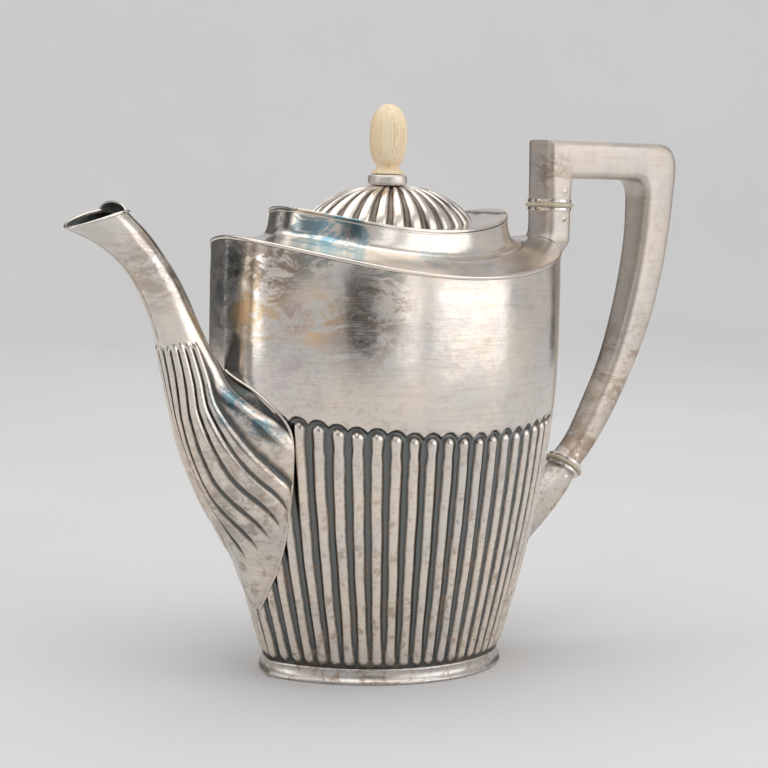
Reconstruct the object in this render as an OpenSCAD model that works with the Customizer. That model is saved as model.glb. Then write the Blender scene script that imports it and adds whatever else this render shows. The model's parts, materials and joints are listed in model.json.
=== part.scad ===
// Silver coffee pot: a pointed-oval reeded body with a hinged lid, a two-part swan-neck spout
// and a square hollow handle held off the body by two insulators.
// Millimetres. +Z is up, the spout points to -X and the handle to +X.
// The origin is on the table, under the middle of the overall length. Inside the modules x runs
// from the body's own axis, and centred() moves each finished piece.

/* [Body] */
// Half length of the body at its rim
rim_a = 77.5; // [74:0.5:80]
// Half width of the body at its rim
rim_b = 57; // [54:0.2:60]
// Height of the rim at the sides
rim_z = 155; // [152:0.5:157]
// How much higher the rim is at the two ends
rim_rise = 13.3; // [11:0.1:15]
// Half length of the foot on the table
foot_a = 55; // [52:0.5:58]
// Half width of the foot on the table
foot_b = 43; // [40:0.5:46]
// Height of the foot
foot_h = 6; // [5:0.5:7]
// Height below which the wall tapers to the foot
belly_z = 125; // [122:1:128]
// Wall of the body
wall = 1; // [0.9:0.1:1.4]

/* [Reeding] */
// Reeds along each side of the body
reeds_per_side = 28; // [24:1:30]
// Depth of the hollows between the reeds
reed_depth = 1.8; // [1:0.1:2.2]
// Height of the reeds' heads at the sides
head_z = 92.5; // [88:0.5:96]
// How much higher the heads are at the two ends
head_rise = 8.5; // [7:0.1:10]

/* [Shoulder and gallery] */
// Half length of the gallery
gallery_a = 53.3; // [52:0.1:54.5]
// Half width of the gallery
gallery_b = 35; // [33.5:0.1:36]
// Height of the gallery's top at the sides
gallery_z = 170.8; // [170:0.2:172]
// How much higher the gallery is at the two ends
gallery_rise = 7.8; // [7:0.1:8.2]
// Height of the gallery's wall
gallery_h = 10.2; // [10.1:0.1:11.4]
// How far the foot of the gallery spreads
gallery_spread = 6.6; // [5.5:0.1:7.5]

/* [Lid] */
// Thickness of the lid plate
plate_t = 1.1; // [0.9:0.1:1.3]
// Gap between the gallery and the lid
lid_gap = 0.25; // [0.2:0.05:0.4]
// Half length of the dome
dome_a = 37; // [35:0.5:38]
// Half width of the dome
dome_b = 22; // [20:0.5:24]
// Height of the dome's flat top
dome_z = 188.2; // [187.5:0.1:190]
// Lobes around the dome
dome_lobes = 28; // [20:1:28]
// Height of the finial's tip
top_z = 220; // [218:0.5:222]

/* [Hinge] */
// Distance of the hinge from the middle of the pot
hinge_x = 47.5; // [47:0.1:47.8]
// Height of the hinge's axis
hinge_z = 176.9; // [176.8:0.05:177.1]
// Radius of the hinge barrel
barrel_r = 1.45; // [1.3:0.05:1.5]
// Half length of the hinge barrel
barrel_half = 9.2; // [8:0.1:9.3]
// Radius of the hinge pin
hinge_pin_r = 0.75; // [0.6:0.05:0.8]
// Running clearance of the pin in the lid's knuckle
pin_clear = 0.05; // [0.03:0.01:0.08]

/* [Handle] */
// Distance of the handle's upright leg from the middle of the pot
leg_x = 84.3; // [83.5:0.1:85]
// Length of the handle's upright leg along the pot
leg_w = 13.4; // [12.5:0.1:14]
// Thickness of the handle from side to side
leg_d = 16; // [14:0.2:17]
// Height of the upper insulator
upper_ring_z = 181.7; // [181:0.1:182.5]
// Radius of the upper insulator
upper_ring_r = 10.1; // [9.8:0.1:10.6]
// Radius of the lower insulator
lower_ring_r = 8.7; // [8.3:0.1:9.2]
// Thickness of the insulators
ring_t = 1.8; // [1.5:0.1:2.2]
// Lean of the lower insulator's axis from the vertical
lower_lean = 34; // [32:0.5:36]
// Wall of the handle
handle_wall = 1; // [0.9:0.1:1.5]
// Radius of the insulator pins
handle_pin_r = 0.85; // [0.7:0.05:1]

/* [Spout] */
// Wall of the spout
spout_wall = 0.8; // [0.7:0.05:1]
// Radius of the wire round the lip
lip_wire_r = 0.6; // [0.5:0.05:0.7]
// Radius of the holes behind the spout
strainer_r = 1.6; // [1.2:0.1:1.9]

/* [Hidden] */
$fn = 48;

body_axis_x = -3.45;   // from the middle of the overall length to the body's axis

rim_point = 0.11;      // bluntness of the body's ends at the rim, 0 is a full ellipse
foot_point = 0.33;     // the same at the foot
gallery_point = 0.02;  // the same at the gallery
side_n = 2 * reeds_per_side;
smooth_n = 24;         // points along each side of the smooth rings
top_wire = 0.8;        // half height of the rim wire
tip_x = hinge_x + 1.75;
tenon_r = 5.2;
lower_tenon_r = 3.5;
tenon_len = 8;
collar_h = 1.5;
upper_collar_r = 9.1;
lower_collar_r = 7.6;
lower_half = 5.6;      // half thickness of the handle and the socket at the lower insulator
hood_x = -126.6;       // front face of the tongue across the spout's mouth
hood_r = 12.3;
hood_foot = 176.9;
hood_top = 180.7;
finial_x = -2;         // the finial stands a little forward of the dome's middle
washer_h = 4.4;
lower_ring = [96.5, 71.8];
lower_dir = [sin(lower_lean), cos(lower_lean)];

// ---- curves ----

// A point on the near side of a pointed oval; u runs from -1 at the front to 1 at the back,
// evenly along the curve.
function oval(a, b, p, u) =
    let (d = p * b, B = b + d, A = a / sqrt(1 - pow(d / B, 2)))
    let (k = (A - B) / (2 * (A + B)) * 180 / PI, t0 = asin(a / A), e0 = t0 + k * sin(2 * t0))
    let (t = t0 * (u * e0 - k * sin(2 * u * e0)) / (e0 - k * sin(2 * e0)))
    [A * sin(t), d - B * cos(t)];

// How far along the oval reaches at a distance y from its long axis
function oval_x(a, b, p, y) =
    let (d = p * b, B = b + d, A = a / sqrt(1 - pow(d / B, 2)))
    A * sqrt(1 - pow((abs(y) + d) / B, 2));

// Half width of the oval at x
function oval_y(a, b, p, x) =
    let (d = p * b, B = b + d, A = a / sqrt(1 - pow(d / B, 2)))
    B * sqrt(max(0, 1 - pow(x / A, 2))) - d;

// A closed ring on the oval, n points a side, at height z + rise at the ends and z at the sides
function ring(a, b, p, z, rise, n) = [for (i = [0:2 * n - 1])
    let (near = i < n, q = oval(a, b, p, near ? 2 * i / n - 1 : 3 - 2 * i / n))
    [q[0], near ? q[1] : -q[1], z + rise * pow(q[0] / a, 2)]];

// Size of the body at a height
function fullness(z) = z > belly_z ? 1 : 1 - 1.06 * pow((belly_z - z) / 120, 1.8);
function body_a(z) = foot_a + (rim_a - foot_a) * fullness(z);
function body_b(z) = foot_b + (rim_b - foot_b) * fullness(z);
function body_p(z) = foot_point + (rim_point - foot_point) * fullness(z);

// Smooth curve through four stations
function blend(p0, p1, p2, p3, t) = 0.5 * (2 * p1 + (p2 - p0) * t
    + (2 * p0 - 5 * p1 + 4 * p2 - p3) * t * t + (3 * p1 - p0 - 3 * p2 + p3) * t * t * t);
function smooth(s, n) = [for (i = [0:len(s) - 2], k = [0:n - 1])
    blend(s[max(i - 1, 0)], s[i], s[i + 1], s[min(i + 2, len(s) - 1)], k / n), s[len(s) - 1]];

// Faces of a grid of rings, m points each
function band_faces(rings, m, closed) = [for (j = [0:rings - (closed ? 1 : 2)], i = [0:m - 1])
    let (a = j * m + i, b = j * m + (i + 1) % m, up = ((j + 1) % rings) * m,
         c = up + (i + 1) % m, d = up + i)
    each [[a, c, b], [a, d, c]]];

// A solid whose rings run up the outside and down the inside
module ring_solid(rings) {
    m = len(rings[0]);
    polyhedron([for (r = rings) each r], band_faces(len(rings), m, true));
}

// A solid from stacked rings, closed by a flat or gently domed cap at each end
module stack_solid(rings) {
    m = len(rings[0]);
    n = len(rings);
    caps = [[for (i = [0:m - 1]) i], [for (i = [0:m - 1]) n * m - 1 - i]];
    polyhedron([for (r = rings) each r], concat(band_faces(n, m, false), caps));
}

// ---- body ----

// Levels of the wall: height at the sides, rise at the ends, depth of the hollows
function wall_levels() = [[foot_h, 0, 0.6], [20, 0.8, 1], [38, 2.2, 1], [57, 4.2, 1], [76, 6.4, 1],
    [head_z - 3, head_rise - 0.4, 1], [head_z, head_rise, 0], [belly_z, 11, 0],
    [rim_z - top_wire - 0.1, rim_rise, 0]];

function wall_ring(level, inset) =
    let (a = body_a(level[0] + level[1]) - inset, b = body_b(level[0]) - inset)
    let (p = body_p(level[0]), cut = reed_depth * level[2])
    let (crest = ring(a, b, p, level[0], level[1], side_n),
         hollow = ring(a - cut, b - cut, p, level[0], level[1], side_n))
    [for (i = [0:2 * side_n - 1]) i % 2 == 0 ? hollow[i] : crest[i]];

module body_shell() {
    levels = wall_levels();
    n = len(levels);
    outer = [for (l = levels) wall_ring(l, 0)];
    inner = [for (i = [n - 1:-1:0]) wall_ring(levels[i], wall)];
    color("silver") difference() {
        ring_solid(concat(outer, inner));
        for (row = [0:4], side = [-1:1])
            translate([-rim_a - 5, side * 5.5, 62 + 8 * row])
                rotate([0, 90, 0]) cylinder(r = strainer_r, h = 25);
    }
}

module base_plate() {
    outline = [for (q = ring(foot_a - 3, foot_b - 3, foot_point, 0, 0, smooth_n)) [q[0], q[1]]];
    color("gray") translate([0, 0, foot_h - 1.2]) linear_extrude(1.2) polygon(outline);
}

// The foot's profile: inset from the table line, height
module foot_ring() {
    profile = [[0, 0], [0, 0.8], [0.8, 1.5], [1.3, 2.8], [1.4, foot_h], [3, foot_h], [3, 0]];
    color("silver") ring_solid([for (q = profile)
        ring(foot_a - q[0], foot_b - q[0], foot_point, q[1], 0, smooth_n)]);
}

module rim_wire() {
    profile = [[wall + 0.1, -top_wire], [0.1, -top_wire], [-0.5, 0], [0.1, top_wire],
        [wall + 0.1, top_wire]];
    color("gainsboro") ring_solid([for (q = profile)
        ring(rim_a - q[0], rim_b - q[0], rim_point, rim_z + q[1], rim_rise, side_n)]);
}

// ---- shoulder and gallery ----

seam_a = gallery_a + gallery_spread;
seam_b = gallery_b + gallery_spread;
seam_z = gallery_z - gallery_h;

// A ring part of the way from the foot of the gallery (0) to the rim (1)
function shoulder_ring(t, drop, inset) =
    ring(seam_a + (rim_a - wall - 0.1 - seam_a) * t - inset,
         seam_b + (rim_b - wall - 0.1 - seam_b) * t - inset,
         gallery_point + (rim_point - gallery_point) * t,
         seam_z + (rim_z + 0.6 - seam_z) * pow(t, 0.8) - drop,
         gallery_rise + (rim_rise - gallery_rise) * t, smooth_n);

module shoulder() {
    steps = [1, 0.75, 0.5, 0.25, 0];
    outer = [for (t = steps) shoulder_ring(t, 0, 0)];
    inner = [for (i = [4:-1:0]) shoulder_ring(steps[i], 1.1, 0)];
    color("silver") ring_solid(concat(outer, inner));
}

// The gallery's profile: spread from the top, drop from the top
function gallery_profile() = [[gallery_spread, gallery_h], [4.2, 10], [2.2, 8.4], [1, 6], [0.4, 3],
    [0, 1.4], [0, 0]];
// A ring inside or outside the gallery's outline that keeps to the lid's sheer
function lid_ring(out, z) = ring(gallery_a + out, gallery_b + out, gallery_point, z,
    gallery_rise * pow(min(1, (gallery_a + out) / gallery_a), 2), smooth_n);
function gallery_ring(q, inset) = lid_ring(q[0] - inset, gallery_z - q[1]);

module gallery() {
    profile = gallery_profile();
    outer = [for (q = profile) gallery_ring(q, 0.4)];
    inner = [for (i = [len(profile) - 1:-1:0]) let (q = profile[i])
        gallery_ring([q[0], q[1] + (i == 0 ? 0.9 : 0)], 1.4)];
    color("silver") ring_solid(concat(outer, inner));
}

module gallery_wire() {
    profile = [[0.4, 1.4], [0, 1.4], [0, 0], [0.4, 0]];
    color("gainsboro") ring_solid([for (q = profile) lid_ring(-q[0], gallery_z - q[1])]);
}

function plate_low(x) = gallery_z + gallery_rise * pow(x / gallery_a, 2) + lid_gap;

// The fixed tip of the lid's outline, behind the hinge
module gallery_tip() {
    stations = [for (x = [tip_x, tip_x + 1.5, gallery_a - 1.3, gallery_a - 0.3]) x];
    color("silver") stack_solid([for (x = stations)
        let (y = oval_y(gallery_a, gallery_b, gallery_point, x), z = plate_low(x) - lid_gap)
        [[x, -y, z], [x, y, z], [x, y, z + plate_t + lid_gap], [x, -y, z + plate_t + lid_gap]]]);
}

// The closed outer form of the pot, for fitting the sockets to it
module pot_form() {
    walls = [for (l = wall_levels()) ring(body_a(l[0] + l[1]) - 0.1, body_b(l[0]) - 0.1,
        body_p(l[0]), l[0], l[1], smooth_n)];
    rims = [for (t = [1, 0.75, 0.5, 0.25, 0]) shoulder_ring(t, 0, -0.05)];
    edge = [for (z = [-top_wire, top_wire])
        ring(rim_a + 0.65, rim_b + 0.65, rim_point, rim_z + z, rim_rise, smooth_n)];
    cover = [for (q = gallery_profile()) gallery_ring(q, 0.4)];
    lid = ring(dome_a, dome_b, gallery_point, gallery_z, 0, smooth_n);
    stack_solid(concat([for (i = [0:len(walls) - 2]) walls[i]], edge, rims,
        [for (i = [1:len(cover) - 1]) cover[i]], [lid]));
}

// ---- spout ----

// Stations from the lip to the foot of the spout's leaf. Each holds the front ridge (x, z), the
// back edge (x, z, half width), the half widths of the two control points of its side curve, and
// how far those points lie from the front and back edges, and how far they are lifted.
function spout_stations() = [
    [-144.8, 170.7, -120.7, 175.4, 0, 12.2, 12.2, 0.1, 0.02, 0.4, 5.2],
    [-133.5, 166, -113.2, 171, 0, 10.2, 10.2, 0.12, 0.08, 0, 0.6],
    [-123.3, 159, -105.9, 163, 0, 9.6, 9.6, 0.12, 0.1, 0, 0],
    [-115.3, 149.2, -97.6, 151.4, 0, 9.6, 9.6, 0.12, 0.1, 0, 0],
    [-109.2, 136.5, -90.4, 138.5, 0, 10, 10, 0.12, 0.1, 0, 0],
    [-105, 123.5, -83, 126.5, 0, 10.8, 10.8, 0.12, 0.1, 0, 0],
    [-101.8, 111.5, -77.6, 119.3, 0, 12, 11.5, 0.12, 0.1, 0, 0],
    [-98.6, 101, -72, 111, 15.5, 13, 12.5, 0.1, 0.15, 0, 0],
    [-93.3, 87.5, -64, 99, 25.4, 15, 21, 0.06, 0.3, 0, 0],
    [-84.6, 71, -62, 82, 25, 15, 24, 0.05, 0.35, 0, 0],
    [-75.8, 57.5, -60.5, 64, 21.2, 13, 20.5, 0.05, 0.35, 0, 0],
    [-69, 45.5, -60, 48, 15.6, 9.5, 15, 0.05, 0.35, 0, 0],
    [-66, 36, -59.5, 36.5, 8.8, 5.5, 8.4, 0.05, 0.35, 0, 0],
    [-62.6, 27.5, -59, 27, 2, 1.2, 1.8, 0.05, 0.35, 0, 0]];

// The back edge's x, held just off the body's wall where the spout leans on it
function back_x(s) = let (z = s[3])
    s[4] < 0.05 ? s[2] : min(-oval_x(body_a(z), body_b(z), body_p(z), s[4]) - 0.15, s[2]);

function bezier(p, t) = p[0] * pow(1 - t, 3) + 3 * p[1] * t * pow(1 - t, 2)
    + 3 * p[2] * t * t * (1 - t) + p[3] * t * t * t;

// Points across one side of the spout, from the front ridge to the back edge
function spout_side(s, n) =
    let (front = [s[0], 0, s[1]], back = [back_x(s), 0, s[3]], run = back - front)
    let (p = [front, front + s[7] * run + [0, s[5], s[9]], back - s[8] * run + [0, s[6], s[10]],
              back + [0, max(0, s[4]), 0]])
    [for (k = [0:n]) bezier(p, k / n)];

function unit(v) = v / norm(v);
// Grid point at a row and a column, held at the grid's edges
function at(g, j, i) = g[max(0, min(len(g) - 1, j))][max(0, min(len(g[0]) - 1, i))];
// The grid moved in by a distance; its front column stays on the middle plane
function inset_grid(g, d) = [for (j = [0:len(g) - 1]) [for (i = [0:len(g[0]) - 1])
    let (n = unit(cross(at(g, j + 1, i) - at(g, j - 1, i), at(g, j, i + 1) - at(g, j, i - 1))))
    let (q = g[j][i] + d * n)
    i == 0 || g[j][i][1] < 0.01 ? [g[j][i][0] + (i == 0 ? 1.3 * d : -1.3 * d), 0, g[j][i][2]]
        : [q[0], max(0.3, q[1]), q[2]]]];

// A sheet between an outer and an inner grid of the same size
module sheet(outer, inner) {
    r = len(outer);
    c = len(outer[0]);
    n = r * c;
    skin = [for (j = [0:r - 2], i = [0:c - 2])
        let (a = j * c + i) each [[a, a + 1, a + c + 1], [a, a + c + 1, a + c]]];
    back = [for (f = skin) [f[0] + n, f[2] + n, f[1] + n]];
    rim = concat([for (i = [0:c - 2]) i], [for (j = [0:r - 2]) j * c + c - 1],
        [for (i = [c - 1:-1:1]) (r - 1) * c + i], [for (j = [r - 1:-1:1]) j * c]);
    m = len(rim);
    edge = [for (k = [0:m - 1]) let (a = rim[k], b = rim[(k + 1) % m])
        each [[a, a + n, b + n], [a, b + n, b]]];
    polyhedron([for (g = [outer, inner], row = g) each row], concat(skin, back, edge));
}

module spout_half_far() {
    outer = [for (s = smooth(spout_stations(), 2)) spout_side(s, 8)];
    color("silver") sheet(outer, inset_grid(outer, spout_wall));
}

module spout_half_near() {
    mirror([0, 1, 0]) spout_half_far();
}

// A tube of radius r along closed points, its sections square to the path
module loop_tube(path, r, sides) {
    m = len(path);
    rings = [for (i = [0:m - 1])
        let (t = unit(path[(i + 1) % m] - path[(i + m - 1) % m]), e = unit(cross(t, [0, 0, 1])),
             f = cross(e, t))
        [for (k = [0:sides - 1]) path[i] + r * (cos(360 * k / sides) * e + sin(360 * k / sides) * f)]];
    polyhedron([for (q = rings) each q], band_faces(m, sides, true));
}

module spout_lip_wire() {
    side = spout_side(spout_stations()[0], 12);
    path = concat([for (i = [0:11]) side[i]],
        [for (i = [12:-1:1]) let (q = side[i]) [q[0], -q[1], q[2]]]);
    color("gainsboro") translate([0, 0, lip_wire_r]) loop_tube(path, lip_wire_r, 6);
}

// A low half-round tongue across the mouth, standing on the lip wire
module spout_hood() {
    color("silver") intersection() {
        translate([hood_x, 0, hood_top - hood_r]) rotate([0, 90, 0])
            cylinder(r = hood_r, h = 0.9);
        translate([hood_x - 5, -20, hood_foot]) cube([20, 40, 20]);
    }
}

// ---- handle ----

// Eight points round a section between an outer and an inner point of the handle's outline
function section(out, in, half, chamfer) =
    let (o = [out[0], 0, out[1]], i = [in[0], 0, in[1]], c = chamfer * unit(i - o))
    [for (q = [[o, chamfer - half], [o + c, -half], [i - c, -half], [i, chamfer - half],
               [i, half - chamfer], [i - c, half], [o + c, half], [o, half - chamfer]])
        q[0] + [0, q[1], 0]];

// The handle's outline: outer x, z, inner x, z, half width
function handle_stations() = let (h = leg_w / 2, d = leg_d / 2, top = 208.4, under = 192.6)
    let (end = upper_ring_z + ring_t / 2 + collar_h)
    [[leg_x - h, end, leg_x + h, end, d], [leg_x - h, top, leg_x + h, under, d],
     [143.5, top, 127.5, under, d], [148.6, 206.9, 131, 191.7, d], [151.6, 203.2, 133, 189.3, d],
     [152.3, 198, 133.9, 186.3, d], [151.5, 184.5, 133.9, 182, 7.9], [149.7, 167.3, 133.2, 169.6, 7.5],
     [146.3, 150, 130.7, 154.2, 7.2], [140.6, 131, 126, 135.5, 6.9], [131.6, 111.7, 119.2, 116.6, 6.5],
     [120.6, 92.7, 109.8, 99, 6.1], [110.6, 79.1, 101.2, 85, 5.8]];

function handle_end() = let (c = lower_ring + (ring_t / 2 + collar_h) * lower_dir, e = lower_half)
    [c[0] + e * lower_dir[1], c[1] - e * lower_dir[0], c[0] - e * lower_dir[1],
     c[1] + e * lower_dir[0], e];

// The handle's form, shrunk by an inset and carried past its two ends
module handle_form(inset, past) {
    first = handle_stations()[0];
    last = handle_end();
    drop = past * lower_dir;
    stations = concat([[first[0], first[1] - past, first[2], first[3] - past, first[4]]],
        [for (i = [1:len(handle_stations()) - 1]) handle_stations()[i]],
        [[last[0] - drop[0], last[1] - drop[1], last[2] - drop[0], last[3] - drop[1], last[4]]]);
    stack_solid([for (s = stations)
        let (o = [s[0], s[1]], i = [s[2], s[3]], d = inset * unit(i - o))
        section(o + d, i - d, s[4] - inset, 2.4 - 0.55 * inset)]);
}

// A cylinder across the handle, at a point of its middle plane
module cross_pin(p, r, half) {
    translate([p[0], half, p[1]]) rotate([90, 0, 0]) cylinder(r = r, h = 2 * half, $fn = 24);
}

upper_pins = [[85.5, 187.4], [85.5, 175.8]];
lower_pins = [lower_ring + 5.2 * lower_dir, lower_ring - 5.2 * lower_dir];

module handle() {
    color("silver") difference() {
        handle_form(0, 0);
        handle_form(handle_wall, 1);
        place_upper() cylinder(r = tenon_r, h = 12);
        place_lower() cylinder(r = lower_tenon_r, h = 9);
        cross_pin(upper_pins[0], handle_pin_r, 12);
        cross_pin(lower_pins[0], handle_pin_r, 12);
    }
}

module place_upper() translate([leg_x, 0, upper_ring_z]) children();
module place_lower() translate([lower_ring[0], 0, lower_ring[1]]) rotate([0, lower_lean, 0]) children();

// A collar ring seated on one side of an insulator
module collar(r, bore, side) {
    translate([0, 0, side > 0 ? ring_t / 2 : -ring_t / 2 - collar_h]) rotate_extrude()
        polygon([[bore, 0], [r - 0.4, 0], [r, 0.4], [r, collar_h - 0.4], [r - 0.4, collar_h],
                 [bore, collar_h]]);
}

module upper_handle_collar() color("gainsboro") place_upper() collar(upper_collar_r, tenon_r, 1);
module upper_socket_collar() color("gainsboro") place_upper() collar(upper_collar_r, tenon_r, -1);
module lower_handle_collar() color("gainsboro") place_lower() collar(lower_collar_r, lower_tenon_r, 1);
module lower_socket_collar() color("gainsboro") place_lower() collar(lower_collar_r, lower_tenon_r, -1);

// An insulator: a disc with a rounded edge and a tenon each way
module insulator(r, tenon) {
    h = ring_t / 2;
    rotate_extrude() polygon([[0, -tenon_len], [tenon, -tenon_len], [tenon, -h], [r - 0.6, -h],
        [r - 0.15, -h * 0.55], [r, 0], [r - 0.15, h * 0.55], [r - 0.6, h], [tenon, h],
        [tenon, tenon_len], [0, tenon_len]]);
}

module upper_insulator() {
    color("ivory") difference() {
        place_upper() insulator(upper_ring_r, tenon_r);
        for (p = upper_pins) cross_pin(p, handle_pin_r, 12);
    }
}

module lower_insulator() {
    color("ivory") difference() {
        place_lower() insulator(lower_ring_r, lower_tenon_r);
        for (p = lower_pins) cross_pin(p, handle_pin_r, 12);
    }
}

module insulator_pins() {
    color("gainsboro") {
        for (p = upper_pins) cross_pin(p, handle_pin_r, leg_d / 2 + 0.3);
        for (p = lower_pins) cross_pin(p, handle_pin_r, lower_half + 0.3);
    }
}

// The upper socket stands on the shoulder and runs down behind the rim to a point
module upper_socket() {
    h = leg_w / 2;
    d = leg_d / 2;
    top = upper_ring_z - ring_t / 2 - collar_h;
    stations = [[leg_x - h, top, leg_x + h, top, d], [leg_x - h, 170, leg_x + h, 170, d],
        [leg_x - h - 2.2, 166, leg_x + h - 0.4, 166, d], [75, 160.5, 88, 160.5, 5.4],
        [75, 155, 83, 155, 3], [75, 150, 79.4, 150, 1.4]];
    color("silver") difference() {
        stack_solid([for (i = [len(stations) - 1:-1:0]) let (s = stations[i])
            section([s[0], s[1]], [s[2], s[3]], s[4], min(2.4, 0.45 * s[4]))]);
        pot_form();
        translate([leg_x, 0, upper_ring_z - tenon_len - 0.4]) cylinder(r = tenon_r, h = 20);
        cross_pin(upper_pins[1], handle_pin_r, 12);
    }
}

// The lower socket runs down the back of the body to a point
module lower_socket() {
    end = lower_ring - (ring_t / 2 + collar_h) * lower_dir;
    e = lower_half;
    side = [lower_dir[1], -lower_dir[0]];
    out = end + e * side;
    in = end - e * side;
    stations = [[out[0], out[1], in[0], in[1], e], [95, 60, 81.5, 67.5, e],
        [86, 51, 69.5, 62.5, 5.2], [77.2, 43.2, 62, 52, 4.2],
        [69.4, 36, 58, 41, 2.8], [62.6, 27.5, 56, 30, 1.2]];
    color("silver") difference() {
        stack_solid([for (s = stations) section([s[0], s[1]], [s[2], s[3]], s[4], 0.42 * s[4])]);
        pot_form();
        place_lower() translate([0, 0, -tenon_len - 0.4]) cylinder(r = lower_tenon_r, h = 12);
        cross_pin(lower_pins[1], handle_pin_r, 12);
    }
}

// ---- lid ----

// A ring of the lid plate at a share of the way from the dome's mouth (0) to the edge (1)
function plate_ring(t, up) =
    let (a = dome_a - 2 + (gallery_a - dome_a + 2) * t, b = dome_b - 2 + (gallery_b - dome_b + 2) * t)
    [for (q = ring(a, b, gallery_point * t, 0, 0, smooth_n)) [q[0], q[1], plate_low(q[0]) + up]];

module lid_plate() {
    color("silver") difference() {
        ring_solid([plate_ring(0, 0), plate_ring(0.5, 0), plate_ring(1, 0), plate_ring(1, plate_t),
            plate_ring(0.5, plate_t), plate_ring(0, plate_t)]);
        translate([hinge_x - 0.8, -30, 160]) cube([20, 60, 40]);
        translate([hinge_x - 1.75, -barrel_half - 0.3, 160]) cube([20, 2 * barrel_half + 0.6, 40]);
    }
}

module lid_bezel() {
    profile = [[2.1, -4], [2.1, 0], [3, 0], [3, -4]];
    color("silver") difference() {
        ring_solid([for (q = profile) lid_ring(-q[0], gallery_z + lid_gap + q[1])]);
        translate([40, -30, 160]) cube([20, 60, 40]);
    }
}

// Height of the dome at a share of its radius, above the plate at that point
function dome_height(r, x) = let (base = plate_low(x) + plate_t)
    base + (dome_z - base) * pow(1 - pow((r - 0.2) / 0.8, 2), 0.75);

function dome_ring(r, inset, deep) = [for (i = [0:4 * dome_lobes - 1])
    let (t = 180 + 90 * i / dome_lobes, cut = deep * (1 - cos(90 * i)) / 2, x = dome_a * r * cos(t))
    [(dome_a * r - inset - cut) * cos(t), (dome_b * r - inset - cut) * sin(t),
     dome_height(r, x) - (r < 0.9 ? inset + cut : 0)]];

module lid_dome() {
    shares = [1, 0.96, 0.88, 0.74, 0.56, 0.38, 0.2];
    outer = [for (r = shares) dome_ring(r, 0, r > 0.3 ? 0.8 : 0)];
    inner = [for (i = [6:-1:0]) dome_ring(shares[i], 1, shares[i] > 0.3 ? 0.8 : 0)];
    color("silver") {
        difference() {
            ring_solid(concat(outer, inner));
            translate([0, 0, dome_z - 3]) cylinder(r = 3, h = 10);
        }
        translate([0, 0, dome_z - 1]) difference() {
            cylinder(r = 7.3, h = 1);
            translate([finial_x, 0, -1]) cylinder(r = 1.6, h = 4);
        }
    }
}

module finial_washer() {
    color("silver") translate([finial_x, 0, dome_z]) rotate_extrude()
        polygon([[1.6, 0], [7, 0], [7.5, 0.8], [7.7, 2.2], [7.5, 3.6], [6.8, washer_h],
            [1.6, washer_h]]);
}

// Half width of the finial's barrel at a height: its widest level is 12.5 below the top
function egg(z) = let (mid = top_z - 12.5) 7.4 * sqrt(1 - pow(abs(z - mid) / (z > mid ? 12.5 : 14), 2.5));

module finial() {
    base = dome_z + washer_h;
    bore_top = base + 14;
    low = base + 4;
    curve = [for (i = [0:16]) let (z = low + (top_z - low) * sin(90 * i / 16)) [egg(z), z]];
    color("ivory") translate([finial_x, 0, 0]) rotate_extrude()
        polygon(concat([[1.5, base], [6.3, base], [6.5, base + 0.7], [5.6, base + 1.5],
            [4.3, base + 2.6]], curve, [[0, bore_top], [1.5, bore_top]]));
}

module finial_stud() {
    color("gainsboro") translate([finial_x, 0, dome_z - 5]) cylinder(r = 1.5, h = 22.4);
}

module finial_nut() {
    color("gainsboro") translate([finial_x, 0, dome_z - 4]) difference() {
        cylinder(r = 3.2, h = 3, $fn = 6);
        translate([0, 0, -1]) cylinder(r = 1.5, h = 5, $fn = 48);
    }
}

// ---- hinge ----

// A knuckle of the hinge between two distances along its axis
module knuckle(from, to, bore) {
    translate([hinge_x, from, hinge_z]) rotate([-90, 0, 0]) difference() {
        cylinder(r = barrel_r, h = to - from);
        translate([0, 0, -1]) cylinder(r = bore, h = to - from + 2);
    }
}

module lid_hinge_leaf() {
    lean = atan(2 * gallery_rise * 40 / pow(gallery_a, 2));
    color("gainsboro") union() {
        knuckle(-3, 3, hinge_pin_r + pin_clear);
        difference() {
            translate([hinge_x, 0, hinge_z + 0.05]) rotate([0, -lean, 0])
                translate([-12, -3, -0.7]) cube([11.2, 6, 0.75]);
            translate([hinge_x, -4, hinge_z]) rotate([-90, 0, 0])
                cylinder(r = hinge_pin_r + pin_clear, h = 8);
        }
    }
}

module gallery_hinge_leaf() {
    color("gainsboro") {
        for (side = [-1, 1]) {
            knuckle(side > 0 ? 3.2 : -barrel_half, side > 0 ? barrel_half : -3.2, hinge_pin_r);
            translate([hinge_x + 0.9, side > 0 ? 3.2 : -barrel_half, hinge_z - 5])
                cube([0.9, barrel_half - 3.2, 5]);
        }
        translate([hinge_x + 0.9, -barrel_half, hinge_z - 5]) cube([0.9, 2 * barrel_half, 2.6]);
    }
}

module hinge_pin() {
    color("gray") translate([hinge_x, -barrel_half, hinge_z]) rotate([-90, 0, 0])
        cylinder(r = hinge_pin_r, h = 2 * barrel_half);
}

module centred() translate([body_axis_x, 0, 0]) children();

centred() body_shell();
centred() base_plate();
centred() foot_ring();
centred() rim_wire();
centred() shoulder();
centred() gallery();
centred() gallery_wire();
centred() gallery_tip();
centred() spout_half_near();
centred() spout_half_far();
centred() spout_lip_wire();
centred() spout_hood();
centred() upper_socket();
centred() lower_socket();
centred() upper_socket_collar();
centred() lower_socket_collar();
centred() handle();
centred() upper_handle_collar();
centred() lower_handle_collar();
centred() upper_insulator();
centred() lower_insulator();
centred() insulator_pins();
centred() gallery_hinge_leaf();
centred() hinge_pin();
centred() lid_plate();
centred() lid_bezel();
centred() lid_dome();
centred() lid_hinge_leaf();
centred() finial_washer();
centred() finial();
centred() finial_stud();
centred() finial_nut();
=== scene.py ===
import json
import math

import bmesh
import bpy
import numpy as np
from mathutils import Matrix, Vector


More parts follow.
